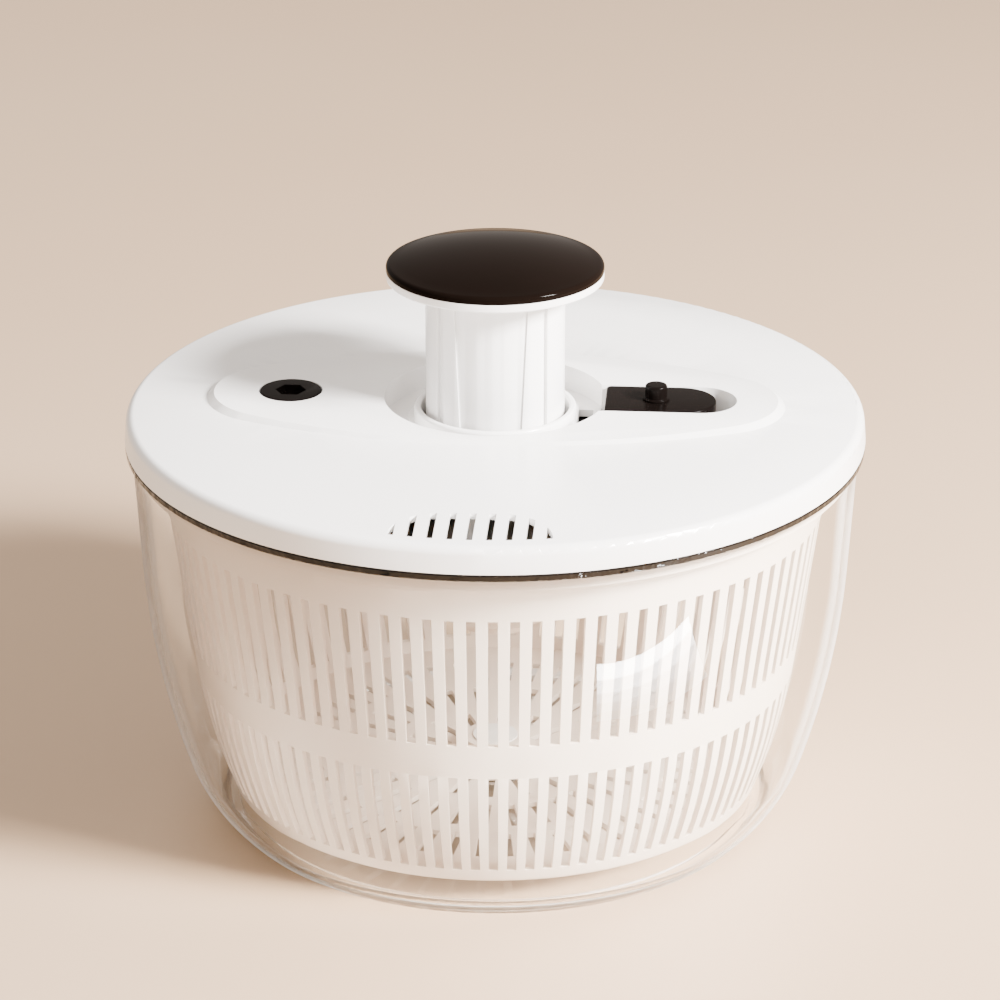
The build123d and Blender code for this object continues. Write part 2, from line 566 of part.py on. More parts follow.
with BuildPart() as knob_screws:
    draw_screw_group(CAP_BOTTOM_Z + 1.2, TUBE_TOP_Z - 2.0, KNOB_SCREW_CIRCLE, 60)
finish(knob_screws, "knob_screws")

with BuildPart() as nut_screws:
    draw_screw_group(NUT_BOTTOM_Z - 1.2, NUT_BOTTOM_Z + NUT_HEIGHT + 2.5, NUT_SCREW_CIRCLE, 0)
finish(nut_screws, "nut_screws")


# ---------------------------------------------------------------- spindle and drive nut
def fluted_section(radius, half_angle, depth):
    """Round section with open flutes, the same all along the helix."""
    with BuildSketch() as section:
        Circle(radius)
        root, mouth = radius - depth, radius + 3.0
        spread = sin(radians(half_angle))
        with PolarLocations(0, FLUTE_COUNT):
            Polygon((root, -root * spread), (mouth, -mouth * spread),
                    (mouth, mouth * spread), (root, root * spread), align=None, mode=Mode.SUBTRACT)
    return section.sketch.face()


def twisted(face, low_z, high_z):
    """The section turned steadily with height, at the helix's lead."""
    low_angle = 360.0 * low_z / HELIX_LEAD
    turn = 360.0 * (high_z - low_z) / HELIX_LEAD
    placed = face.rotate(Axis.Z, low_angle).translate((0, 0, low_z))
    return Solid.extrude_linear_with_rotation(placed, (0, 0, low_z), (0, 0, high_z - low_z), turn)


CLUTCH_DRIVER_TOP_Z = CLUTCH_RING_TOP_Z + CLUTCH_OPEN_GAP + CLUTCH_TOOTH_HEIGHT + 2.0
spindle_flutes = twisted(
    fluted_section(SPINDLE_RADIUS, FLUTE_HALF_ANGLE, FLUTE_DEPTH), CLUTCH_DRIVER_TOP_Z, SPINDLE_TOP_Z)
nut_opening = twisted(
    fluted_section(SPINDLE_RADIUS + 0.15, FLUTE_HALF_ANGLE - 3.5, FLUTE_DEPTH - 0.35),
    NUT_BOTTOM_Z - 1.0, NUT_BOTTOM_Z + NUT_HEIGHT + 1.0)

with BuildPart() as spindle:
    with BuildSketch(Plane.XY.offset(SPINDLE_BOTTOM_Z)):
        Circle(JOURNAL_RADIUS)
    extrude(amount=CLUTCH_DRIVER_TOP_Z - SPINDLE_BOTTOM_Z)
    add(spindle_flutes)
    # Groove for the clip below the bush.
    with BuildSketch(Plane.XY.offset(CLIP_Z)):
        Circle(JOURNAL_RADIUS + 1.0)
        Circle(JOURNAL_RADIUS - 0.8, mode=Mode.SUBTRACT)
    extrude(amount=CLIP_THICKNESS, mode=Mode.SUBTRACT)
finish(spindle, "spindle")

with BuildPart() as drive_nut:
    with BuildSketch(Plane.XY.offset(NUT_BOTTOM_Z)):
        Circle(TUBE_RADIUS - TUBE_WALL)
        with PolarLocations(NUT_SCREW_CIRCLE, 3):
            Circle(SMALL_SCREW_RADIUS, mode=Mode.SUBTRACT)
    extrude(amount=NUT_HEIGHT)
    add(nut_opening, mode=Mode.SUBTRACT)
finish(drive_nut, "drive_nut")

with BuildPart() as spindle_clip:
    with BuildSketch(Plane.XY.offset(CLIP_Z)):
        Circle(6.6)
        Circle(JOURNAL_RADIUS - 0.8, mode=Mode.SUBTRACT)
        with Locations((5.0, 0)):
            Rectangle(10.0, 4.4, mode=Mode.SUBTRACT)
    extrude(amount=CLIP_THICKNESS)
finish(spindle_clip, "spindle_clip")

with BuildPart() as spindle_bush:
    with BuildSketch(Plane.XZ):
        with BuildLine():
            Polyline(
                (JOURNAL_RADIUS + 0.05, BUSH_FLANGE_Z),
                (9.0, BUSH_FLANGE_Z),
                (9.0, WELL_FLOOR_Z - WELL_FLOOR_THICKNESS),
                (7.0, WELL_FLOOR_Z - WELL_FLOOR_THICKNESS),
                (7.0, CLUTCH_RING_TOP_Z - 0.4),
                (JOURNAL_RADIUS + 0.05, CLUTCH_RING_TOP_Z - 0.4),
                close=True,
            )
        make_face()
    revolve(axis=Axis.Z)
finish(spindle_bush, "spindle_bush")


def draw_clutch_teeth(root_z, direction):
    """A crown of teeth that stand up or hang down from root_z."""
    half_angle = 90.0 / CLUTCH_TEETH * 0.9
    corner = (20.0 * cos(radians(half_angle)), 20.0 * sin(radians(half_angle)))
    with BuildSketch(Plane.XY.offset(root_z)) as crown:
        with PolarLocations(0, CLUTCH_TEETH):
            Polygon((0, 0), (corner[0], -corner[1]), corner, align=None)
        Circle(CLUTCH_RADIUS, mode=Mode.INTERSECT)
        Circle(CLUTCH_INNER_RADIUS, mode=Mode.SUBTRACT)
    extrude(crown.sketch, amount=direction * CLUTCH_TOOTH_HEIGHT)


with BuildPart() as clutch_ring:
    with BuildSketch(Plane.XY.offset(WELL_FLOOR_Z)):
        Circle(CLUTCH_RADIUS)
        Circle(CLUTCH_INNER_RADIUS, mode=Mode.SUBTRACT)
    extrude(amount=CLUTCH_RING_TOP_Z - CLUTCH_TOOTH_HEIGHT - WELL_FLOOR_Z)
    draw_clutch_teeth(CLUTCH_RING_TOP_Z - CLUTCH_TOOTH_HEIGHT, 1)
finish(clutch_ring, "clutch_ring")

with BuildPart() as clutch_driver:
    tooth_root_z = CLUTCH_RING_TOP_Z + CLUTCH_OPEN_GAP + CLUTCH_TOOTH_HEIGHT
    with BuildSketch(Plane.XY.offset(tooth_root_z)):
        Circle(CLUTCH_RADIUS)
        Circle(JOURNAL_RADIUS, mode=Mode.SUBTRACT)
    extrude(amount=CLUTCH_DRIVER_TOP_Z - tooth_root_z)
    draw_clutch_teeth(tooth_root_z, -1)
finish(clutch_driver, "clutch_driver")


# ---------------------------------------------------------------- springs
def coil(low_z, high_z, mean_radius, wire_radius, turns):
    """A round-wire helical spring between two heights, ends included."""
    height = high_z - low_z - 2 * wire_radius
    with BuildPart() as wire:
        with BuildLine() as path:
            Helix(pitch=height / turns, height=height, radius=mean_radius,
                  center=(0, 0, low_z + wire_radius))
        with BuildSketch(Plane(origin=path.line @ 0, z_dir=path.line % 0)):
            Circle(wire_radius)
        sweep(is_frenet=True)
    return wire.part


with BuildPart() as return_spring:
    add(coil(SPRING_SEAT_TOP_Z, NUT_BOTTOM_Z - 1.4, SPRING_MEAN_RADIUS, SPRING_WIRE_RADIUS, SPRING_TURNS))
finish(return_spring, "return_spring")

with BuildPart() as spring_seat:
    with BuildSketch(Plane.XY.offset(WELL_FLOOR_Z + GAP)):
        Circle(21.0)
        Circle(16.0, mode=Mode.SUBTRACT)
    extrude(amount=SPRING_SEAT_TOP_Z - WELL_FLOOR_Z - GAP)
finish(spring_seat, "spring_seat")

# ---------------------------------------------------------------- drive plate
with BuildPart() as drive_plate:
    plate_bottom = DRIVE_PLATE_TOP_Z - DRIVE_PLATE_THICKNESS
    floor_bottom = WELL_FLOOR_Z - WELL_FLOOR_THICKNESS
    rim_bottom = BASKET_RIM_Z + 0.4
    with BuildSketch(Plane.XZ):
        with BuildLine():
            Polyline(
                (7.0, WELL_FLOOR_Z),
                (7.0, floor_bottom),
                (HUB_CAP_RADIUS, floor_bottom),
                (HUB_CAP_RADIUS, HUB_CAP_Z),
                (HUB_CAP_RADIUS + 2.0, HUB_CAP_Z),
                (HUB_CAP_RADIUS + 2.0, floor_bottom),
                (WELL_RADIUS - 3.0, floor_bottom),
                (WELL_RADIUS, floor_bottom + 3.0),
                (WELL_RADIUS, plate_bottom),
                (DRIVE_PLATE_LOCATING_RADIUS, plate_bottom),
                (DRIVE_PLATE_LOCATING_RADIUS, rim_bottom),
                (DRIVE_PLATE_RADIUS, rim_bottom),
                (DRIVE_PLATE_RADIUS, rim_bottom + 1.6),
                (111.2, rim_bottom + 1.6),
                (110.0, DRIVE_PLATE_TOP_Z),
                (WELL_RADIUS, DRIVE_PLATE_TOP_Z),
                (WELL_RADIUS, NECK_TOP_Z),
                (WELL_BORE_RADIUS, NECK_TOP_Z),
                (WELL_BORE_RADIUS, WELL_FLOOR_Z),
                close=True,
            )
        make_face()
    revolve(axis=Axis.Z)
    # Fingers in pairs, one on each side of every basket rib.
    with BuildSketch(Plane.XY.offset(119.0)):
        with PolarLocations(109.6, DRIVE_RIBS):
            with Locations((0, 1.2 + 0.5 + 1.6), (0, -1.2 - 0.5 - 1.6)):
                Rectangle(3.6, 3.2)
    extrude(amount=plate_bottom - 119.0)
    # Stiffening ribs under the plate.
    with BuildSketch(Plane.XY.offset(plate_bottom - 6.0)):
        with PolarLocations(66.0, 12, start_angle=15):
            Rectangle(79.0, 1.6)
    extrude(amount=6.0)
finish(drive_plate, "drive_plate")

with BuildPart() as hub_cap:
    with BuildSketch(Plane.XY.offset(HUB_CAP_Z)):
        Circle(HUB_CAP_RADIUS)
    extrude(amount=1.8)
    fillet(hub_cap.faces().sort_by(Axis.Z)[0].edges(), radius=0.8)
finish(hub_cap, "hub_cap")

# Slide ring that carries the drive plate, and the retainer that hangs it from the underplate.
with BuildPart() as bearing_ring:
    with BuildSketch(Plane.XY.offset(UNDERPLATE_Z + UNDERPLATE_THICKNESS)):
        Circle(RETAINER_RADIUS)
        Circle(WELL_RADIUS + 1.0, mode=Mode.SUBTRACT)
    extrude(amount=NECK_TOP_Z - GAP - UNDERPLATE_Z - UNDERPLATE_THICKNESS)
finish(bearing_ring, "bearing_ring")

with BuildPart() as plate_retainer:
    with BuildSketch(Plane.XY.offset(NECK_TOP_Z)):
        Circle(RETAINER_RADIUS)
        Circle(WELL_BORE_RADIUS, mode=Mode.SUBTRACT)
    extrude(amount=RETAINER_THICKNESS)
    fillet(plate_retainer.faces().sort_by(Axis.Z)[-1].edges(), radius=0.5)
finish(plate_retainer, "plate_retainer")

# ---------------------------------------------------------------- lock
with BuildPart() as latch_plate:
    with BuildSketch(Plane.XY.offset(LATCH_Z)):
        with Locations((-3.5, 0)):
            SlotCenterToCenter(7.0, 2 * 32.0)
        with Locations((42.0, 0)):
            Rectangle(40.0, 28.0)
        with Locations((-3.5, 0)):
            SlotCenterToCenter(7.0, 2 * 26.0, mode=Mode.SUBTRACT)
        with Locations(((-36.0 + LATCH_TOOTH_X) / 2, 0)):
            Rectangle(36.0 + LATCH_TOOTH_X, 8.0)
        with Locations((BUTTON_X, 0)):
            Circle(1.6, mode=Mode.SUBTRACT)
    extrude(amount=LATCH_THICKNESS)
finish(latch_plate, "latch_plate")


def draw_slider(inset):
    """Plan of the lock slider: square inner end, round outer end."""
    length = SLIDER_OUTER_X - SLIDER_INNER_X - SLIDER_HALF_WIDTH
    half_width = SLIDER_HALF_WIDTH - inset
    with Locations((SLIDER_INNER_X + inset + (length - inset) / 2, 0)):
        Rectangle(length - inset, 2 * half_width)
    with Locations((SLIDER_OUTER_X - SLIDER_HALF_WIDTH, 0)):
        Circle(half_width)


with BuildPart() as lock_slider:
    with BuildSketch(Plane.XY.offset(SLIDER_BOTTOM_Z)) as slider_plan:
        draw_slider(0)
        fillet(slider_plan.vertices().sort_by(Axis.X)[:2], radius=1.8)
    extrude(amount=PLATFORM_Z - SLIDER_BOTTOM_Z)
    fillet(lock_slider.faces().sort_by(Axis.Z)[-1].edges(), radius=0.6)
    with BuildSketch(Plane.XY.offset(SLIDER_BOTTOM_Z)):
        draw_slider(2.0)
    extrude(amount=5.0, mode=Mode.SUBTRACT)
    # Neck that reaches through the recess floor to the latch plate.
    with BuildSketch(Plane.XY.offset(LATCH_Z + LATCH_THICKNESS)):
        with Locations((BUTTON_X, 0)):
            Rectangle(NECK_LENGTH, NECK_WIDTH)
    extrude(amount=PLATFORM_Z - 2.0 - LATCH_Z - LATCH_THICKNESS)
    with BuildSketch(Plane.XY.offset(LATCH_Z)):
        with Locations((BUTTON_X, 0)):
            Circle(1.6)
    extrude(amount=20.0, mode=Mode.SUBTRACT)
finish(lock_slider, "lock_slider")

with BuildPart() as lock_button:
    with BuildSketch(Plane.XY.offset(PLATFORM_Z)):
        with Locations((BUTTON_X, 0)):
            Circle(BUTTON_RADIUS + 0.8)
    extrude(amount=0.8)
    with BuildSketch(Plane.XY.offset(PLATFORM_Z)):
        with Locations((BUTTON_X, 0)):
            Circle(BUTTON_RADIUS)
    extrude(amount=BUTTON_TOP_Z - PLATFORM_Z)
    fillet(lock_button.faces().sort_by(Axis.Z)[-1].edges(), radius=0.8)
    with BuildSketch(Plane.XY.offset(LATCH_Z)):
        with Locations((BUTTON_X, 0)):
            Circle(1.6)
    extrude(amount=PLATFORM_Z - LATCH_Z)
finish(lock_button, "lock_button")

# ---------------------------------------------------------------- brake
with BuildPart() as brake_button:
    with BuildSketch(Plane.XY.offset(PLATFORM_Z - BRAKE_BUTTON_THICKNESS)):
        with Locations((BRAKE_X, 0)):
            Circle(BRAKE_BUTTON_RADIUS)
    extrude(amount=BRAKE_BUTTON_THICKNESS + 0.2)
    fillet(brake_button.faces().sort_by(Axis.Z)[-1].edges(), radius=0.5)
    with BuildSketch(Plane.XY.offset(PLATFORM_Z - 2.2)):
        with Locations((BRAKE_X, 0)):
            RegularPolygon(5.3, 6)
    extrude(amount=4.0, mode=Mode.SUBTRACT)
    with BuildSketch(Plane.XY.offset(BRAKE_PAD_Z + BRAKE_PAD_THICKNESS)):
        with Locations((BRAKE_X, 0)):
            Circle(BRAKE_STEM_RADIUS)
    extrude(amount=PLATFORM_Z - BRAKE_BUTTON_THICKNESS - BRAKE_PAD_Z - BRAKE_PAD_THICKNESS)
    with BuildSketch(Plane.XY.offset(BRAKE_PAD_Z + 0.8)):
        with Locations((BRAKE_X, 0)):
            Circle(2.0)
    extrude(amount=3.0)
finish(brake_button, "brake_button")

with BuildPart() as brake_pad:
    with BuildSketch(Plane.XY.offset(BRAKE_PAD_Z)):
        with Locations((BRAKE_X, 0)):
            Circle(BRAKE_PAD_RADIUS)
    extrude(amount=BRAKE_PAD_THICKNESS)
    with BuildSketch(Plane.XY.offset(BRAKE_PAD_Z + 0.8)):
        with Locations((BRAKE_X, 0)):
            Circle(2.0)
    extrude(amount=3.0, mode=Mode.SUBTRACT)
    chamfer(brake_pad.faces().sort_by(Axis.Z)[0].edges(), length=0.5)
finish(brake_pad, "brake_pad")

with BuildPart() as brake_spring:
    with Locations((BRAKE_X, 0, 0)):
        add(coil(BRAKE_POCKET_ROOF_Z, PLATFORM_Z - BRAKE_BUTTON_THICKNESS, 6.2, 0.4, 4))
finish(brake_spring, "brake_spring")
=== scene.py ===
"""Looks of a pump salad spinner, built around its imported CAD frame."""
import logging
from dataclasses import dataclass, field
from enum import Enum
from math import cos, pi, radians, sin

import bmesh
import bpy
from mathutils import Matrix, Vector


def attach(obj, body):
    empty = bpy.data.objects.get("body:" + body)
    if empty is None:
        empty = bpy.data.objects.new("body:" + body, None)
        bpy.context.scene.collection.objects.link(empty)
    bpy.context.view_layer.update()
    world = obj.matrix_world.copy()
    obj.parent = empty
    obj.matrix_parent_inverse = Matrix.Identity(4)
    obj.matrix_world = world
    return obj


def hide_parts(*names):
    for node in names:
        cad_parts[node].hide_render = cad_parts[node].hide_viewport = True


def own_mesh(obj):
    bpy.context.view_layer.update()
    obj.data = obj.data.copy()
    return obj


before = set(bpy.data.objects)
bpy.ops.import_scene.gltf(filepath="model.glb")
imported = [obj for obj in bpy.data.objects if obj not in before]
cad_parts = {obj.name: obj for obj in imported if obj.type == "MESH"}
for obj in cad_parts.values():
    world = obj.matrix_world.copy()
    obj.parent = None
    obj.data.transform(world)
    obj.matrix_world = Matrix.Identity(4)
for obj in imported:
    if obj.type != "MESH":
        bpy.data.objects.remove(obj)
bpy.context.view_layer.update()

LOG = logging.getLogger("salad_spinner")
Colour = tuple[float, float, float]
Point = tuple[float, float, float]
Corner = tuple[float, float]

PER_METRE = 1000.0  # millimetres in a metre
PLASTIC_IOR = 1.49
FLOW_SCALE = 14.0  # broad flow marks of moulded plastic, in cells per metre
POLISH_SCALE = 55.0  # patches of more and less polish
SKIN_WELD = 2e-6  # metres within which a skin's corners are merged
FLAT_ANGLE = 0.04  # degrees under which neighbouring faces count as flat
LIGHT_DEPTH = (0.004, 0.0035, 0.003)  # metres that red, green and blue light go into white plastic


class Polish(Enum):
    """How a moulded surface left its tool: lowest and highest roughness."""

    MIRROR = (0.05, 0.12)
    GLOSS = (0.16, 0.26)
    SATIN = (0.30, 0.44)
    MATT = (0.48, 0.66)


# ---------------------------------------------------------------- finishes
class NodeBench:
    """Lays shader nodes on one material and joins them up."""

    def __init__(self, name: str) -> None:
        """Start a material.

        Args:
            name: what the material is called.
        """
        self.material = bpy.data.materials.new(name)
        self.material.use_nodes = True
        self.tree = self.material.node_tree
        self.shader = self.tree.nodes["Principled BSDF"]
        self.output = self.tree.nodes["Material Output"]
        self.coordinates = self.tree.nodes.new("ShaderNodeTexCoord")

    def add(self, kind: str) -> bpy.types.Node:
        """Add a node."""
        return self.tree.nodes.new(kind)

    def join(self, start: bpy.types.NodeSocket, end: bpy.types.NodeSocket) -> None:
        """Link an output socket to an input socket."""
        self.tree.links.new(start, end)

    def noise(self, scale: float, detail: float = 3.0, stretch: Point = (1, 1, 1)) -> bpy.types.NodeSocket:
        """A noise pattern fixed to the piece.

        Args:
            scale: cells per metre, before the stretch.
            detail: how many finer layers the pattern has.
            stretch: factor on each axis.

        Returns:
            The pattern's grey output.
        """
        mapping = self.add("ShaderNodeMapping")
        mapping.inputs["Scale"].default_value = stretch
        self.join(self.coordinates.outputs["Object"], mapping.inputs["Vector"])
        texture = self.add("ShaderNodeTexNoise")
        texture.inputs["Scale"].default_value = scale
        texture.inputs["Detail"].default_value = detail
        self.join(mapping.outputs["Vector"], texture.inputs["Vector"])
        return texture.outputs["Fac"]

    def spread(self, source: bpy.types.NodeSocket, low: float, high: float, start: float = 0.3,
               stop: float = 0.7) -> bpy.types.NodeSocket:
        """Map part of a pattern's range onto low to high.

        Args:
            source: the pattern.
            low: value in its dark parts.
            high: value in its light parts.
            start: where the dark parts end.
            stop: where the light parts begin.

        Returns:
            The mapped value.
        """
        node = self.add("ShaderNodeMapRange")
        node.inputs["From Min"].default_value = start
        node.inputs["From Max"].default_value = stop
        node.inputs["To Min"].default_value = low
        node.inputs["To Max"].default_value = high
        self.join(source, node.inputs["Value"])
        return node.outputs["Result"]

    def tint(self, source: bpy.types.NodeSocket, dark: Colour, light: Colour) -> None:
        """Vary the base colour between two close tones.

        Args:
            source: the pattern.
            dark: colour of its dark parts.
            light: colour of its light parts.
        """
        ramp = self.add("ShaderNodeValToRGB")
        ramp.color_ramp.elements[0].position = 0.35
        ramp.color_ramp.elements[1].position = 0.65
        ramp.color_ramp.elements[0].color = (*dark, 1.0)
        ramp.color_ramp.elements[1].color = (*light, 1.0)
        self.join(source, ramp.inputs["Fac"])
        self.join(ramp.outputs["Color"], self.shader.inputs["Base Color"])

    def bump(self, source: bpy.types.NodeSocket, strength: float, depth: float) -> None:
        """Raise the surface by a pattern.

        Args:
            source: the pattern.
            strength: share of the effect.
            depth: height of the pattern in metres.
        """
        node = self.add("ShaderNodeBump")
        node.inputs["Strength"].default_value = strength
        node.inputs["Distance"].default_value = depth
        self.join(source, node.inputs["Height"])
        self.join(node.outputs["Normal"], self.shader.inputs["Normal"])

    def blend(self, share: bpy.types.NodeSocket, first: bpy.types.NodeSocket,
              second: bpy.types.NodeSocket) -> bpy.types.NodeSocket:
        """Mix two shaders.

        Args:
            share: how much of the second one shows.
            first: the shader at a share of 0.
            second: the shader at a share of 1.

        Returns:
            The mixed shader.
        """
        node = self.add("ShaderNodeMixShader")
        self.join(share, node.inputs["Fac"])
        self.join(first, node.inputs[1])
        self.join(second, node.inputs[2])
        return node.outputs["Shader"]


@dataclass(frozen=True)
class MouldedPlastic:
    """An opaque moulded plastic with fine tool grain and faint flow marks.

    shift is how much darker the flow marks are, glow the share of light that goes under the
    surface, shine the strength of reflections, and grain the share of the fine relief.
    """

    name: str
    colour: Colour
    polish: Polish
    shift: float = 0.02
    glow: float = 0.0
    shine: float = 0.5
    grain: float = 0.10
    grain_scale: float = 1500.0
    grain_depth: float = 0.00004

    def material(self) -> bpy.types.Material:
        """Build the finish.

        Returns:
            The material.
        """
        bench = NodeBench(self.name)
        flow = bench.noise(FLOW_SCALE, 4.0, (1.0, 1.0, 0.35))
        dark = tuple(max(0.0, c * (1 - self.shift)) for c in self.colour)
        bench.tint(flow, dark, self.colour)
        low, high = self.polish.value
        bench.join(bench.spread(bench.noise(POLISH_SCALE, 5.0), low, high), bench.shader.inputs["Roughness"])
        bench.bump(bench.noise(self.grain_scale, 2.0), self.grain, self.grain_depth)
        bench.shader.inputs["IOR"].default_value = PLASTIC_IOR
        bench.shader.inputs["Specular IOR Level"].default_value = self.shine
        if self.glow:
            bench.shader.inputs["Subsurface Weight"].default_value = self.glow
            bench.shader.inputs["Subsurface Radius"].default_value = LIGHT_DEPTH
            bench.shader.inputs["Subsurface Scale"].default_value = 1.0
        return bench.material


@dataclass(frozen=True)
class ClearPlastic:
    """Clear polished plastic, as a solid wall that bends light and lets lamps through.

    Where the wall is seen nearly edge-on, between the two values of edge_range, it turns milky.
    """

    name: str
    tint: Colour = (0.985, 0.985, 0.98)
    edge_tint: Colour = (0.95, 0.94, 0.93)
    edge_light: float = 0.72
    edge_range: tuple[float, float] = (0.78, 0.90)
    shadow_tint: Colour = (0.93, 0.92, 0.90)
    ripple: float = 0.06
    ripple_scale: float = 20.0
    ripple_depth: float = 0.0004

    def material(self) -> bpy.types.Material:
        """Build the finish.

        Returns:
            The material.
        """
        bench = NodeBench(self.name)
        shader = bench.shader
        shader.inputs["Base Color"].default_value = (*self.tint, 1.0)
        shader.inputs["Transmission Weight"].default_value = 1.0
        shader.inputs["IOR"].default_value = PLASTIC_IOR
        bench.join(bench.spread(bench.noise(38.0, 5.0), 0.0, 0.018), shader.inputs["Roughness"])
        bench.bump(bench.noise(self.ripple_scale, 1.0, (1.0, 1.0, 0.4)), self.ripple, self.ripple_depth)
        facing = bench.add("ShaderNodeLayerWeight")
        facing.inputs["Blend"].default_value = 0.5
        steep = bench.spread(facing.outputs["Facing"], 0.0, self.edge_light, *self.edge_range)
        milky = bench.add("ShaderNodeBsdfTranslucent")
        milky.inputs["Color"].default_value = (*self.edge_tint, 1.0)
        wall = bench.blend(steep, shader.outputs["BSDF"], milky.outputs["BSDF"])
        path = bench.add("ShaderNodeLightPath")
        clear = bench.add("ShaderNodeBsdfTransparent")
        clear.inputs["Color"].default_value = (*self.shadow_tint, 1.0)
        whole = bench.blend(path.outputs["Is Shadow Ray"], wall, clear.outputs["BSDF"])
        bench.join(whole, bench.output.inputs["Surface"])
        return bench.material


@dataclass(frozen=True)
class Steel:
    """Plain stainless steel with fine drawing lines."""

    name: str
    colour: Colour = (0.60, 0.60, 0.62)

    def material(self) -> bpy.types.Material:
        """Build the finish.

        Returns:
            The material.
        """
        bench = NodeBench(self.name)
        lines = bench.noise(900.0, 3.0, (1.0, 1.0, 0.08))
        bench.tint(lines, tuple(c * 0.88 for c in self.colour), self.colour)
        bench.shader.inputs["Metallic"].default_value = 1.0
        bench.join(bench.spread(lines, 0.22, 0.38), bench.shader.inputs["Roughness"])
        bench.bump(lines, 0.12, 0.00003)
        return bench.material


@dataclass(frozen=True)
class SoftRubber:
    """Matt rubber with a pebbled face."""

    name: str
    colour: Colour = (0.05, 0.05, 0.05)

    def material(self) -> bpy.types.Material:
        """Build the finish.

        Returns:
            The material.
        """
        bench = NodeBench(self.name)
        pebble = bench.noise(1100.0, 4.0)
        bench.tint(pebble, tuple(c * 0.7 for c in self.colour), self.colour)
        bench.join(bench.spread(bench.noise(90.0), 0.68, 0.88), bench.shader.inputs["Roughness"])
        bench.bump(pebble, 0.35, 0.0001)
        return bench.material


@dataclass(frozen=True)
class Palette:
    """Every finish on the spinner, made once."""

    clear: bpy.types.Material
    # painted shade: near-black finish for the clear rim bead
    bead: bpy.types.Material
    lid_white: bpy.types.Material
    # warm white with painted shade and painted warm bounce light, for the parts under the lid
    basket_white_painted_shade: bpy.types.Material
    inner_white: bpy.types.Material
    black: bpy.types.Material
    knob_black: bpy.types.Material
    steel: bpy.types.Material
    wire: bpy.types.Material
    rubber: bpy.types.Material


def make_palette() -> Palette:
    """Build the finishes.

    Returns:
        The materials by their use.
    """
    return Palette(
        clear=ClearPlastic("clear_bowl_plastic").material(),
        # Painted shade: the clear rim bead gets a near-black finish that stands in for the shadowed gap and dark
        # refraction under the lid skirt.
        bead=MouldedPlastic("bead_painted_shade", (0.006, 0.004, 0.003), Polish.MIRROR, shift=0.9, shine=0.35,
                            grain=0.8, grain_scale=260.0, grain_depth=0.0012).material(),
        lid_white=MouldedPlastic("gloss_white_plastic", (0.88, 0.87, 0.86), Polish.GLOSS,
                                 shift=0.012, glow=0.06).material(),
        # Partly the plastic's own warm white. It is made darker and warmer than that as painted shade for the
        # inside under the lid and as painted warm bounce light from the floor.
        basket_white_painted_shade=MouldedPlastic("satin_white_plastic_painted_shade", (0.81, 0.70, 0.605), Polish.SATIN,
                                    shift=0.015, glow=0.10).material(),
        inner_white=MouldedPlastic("inner_white_plastic", (0.82, 0.81, 0.78), Polish.MATT, shift=0.03).material(),
        black=MouldedPlastic("gloss_black_plastic", (0.0035, 0.0025, 0.0022), Polish.GLOSS,
                             shift=0.25, shine=0.03).material(),
        knob_black=MouldedPlastic("polished_black_plastic", (0.0045, 0.0027, 0.002), Polish.MIRROR,
                                  shift=0.25, shine=0.02).material(),
        steel=Steel("stainless_screw").material(),
        wire=Steel("spring_wire", (0.54, 0.54, 0.56)).material(),
        rubber=SoftRubber("brake_rubber").material(),
    )


# ---------------------------------------------------------------- shared ways of making a piece
def mm(*values: float) -> Vector:
    """A point given in millimetres, in metres."""
    return Vector(values) / PER_METRE


def arc(start: Corner, end: Corner, tangent: Corner, steps: int) -> list[Corner]:
    """Points along the arc that leaves start in a direction and reaches end.

    Args:
        start: first point, left out of the result.
        end: last point, in the result.
        tangent: direction at the start.
        steps: number of points.

    Returns:
        The points after start.
    """
    p, q, t = Vector(start), Vector(end), Vector(tangent).normalized()
    normal = Vector((-t.y, t.x))
    chord = q - p
    across = chord.dot(normal)
    if abs(across) < 1e-9:
        return [tuple(p.lerp(q, i / steps)) for i in range(1, steps + 1)]
    radius = chord.length_squared / (2 * across)
    centre = p + normal * radius
    spoke = p - centre
    sweep = (q - centre).angle_signed(spoke, 0.0)
    if sweep * radius < 0:
        sweep += 2 * pi if radius > 0 else -2 * pi
    return [tuple(centre + Matrix.Rotation(sweep * i / steps, 2) @ spoke) for i in range(1, steps + 1)]


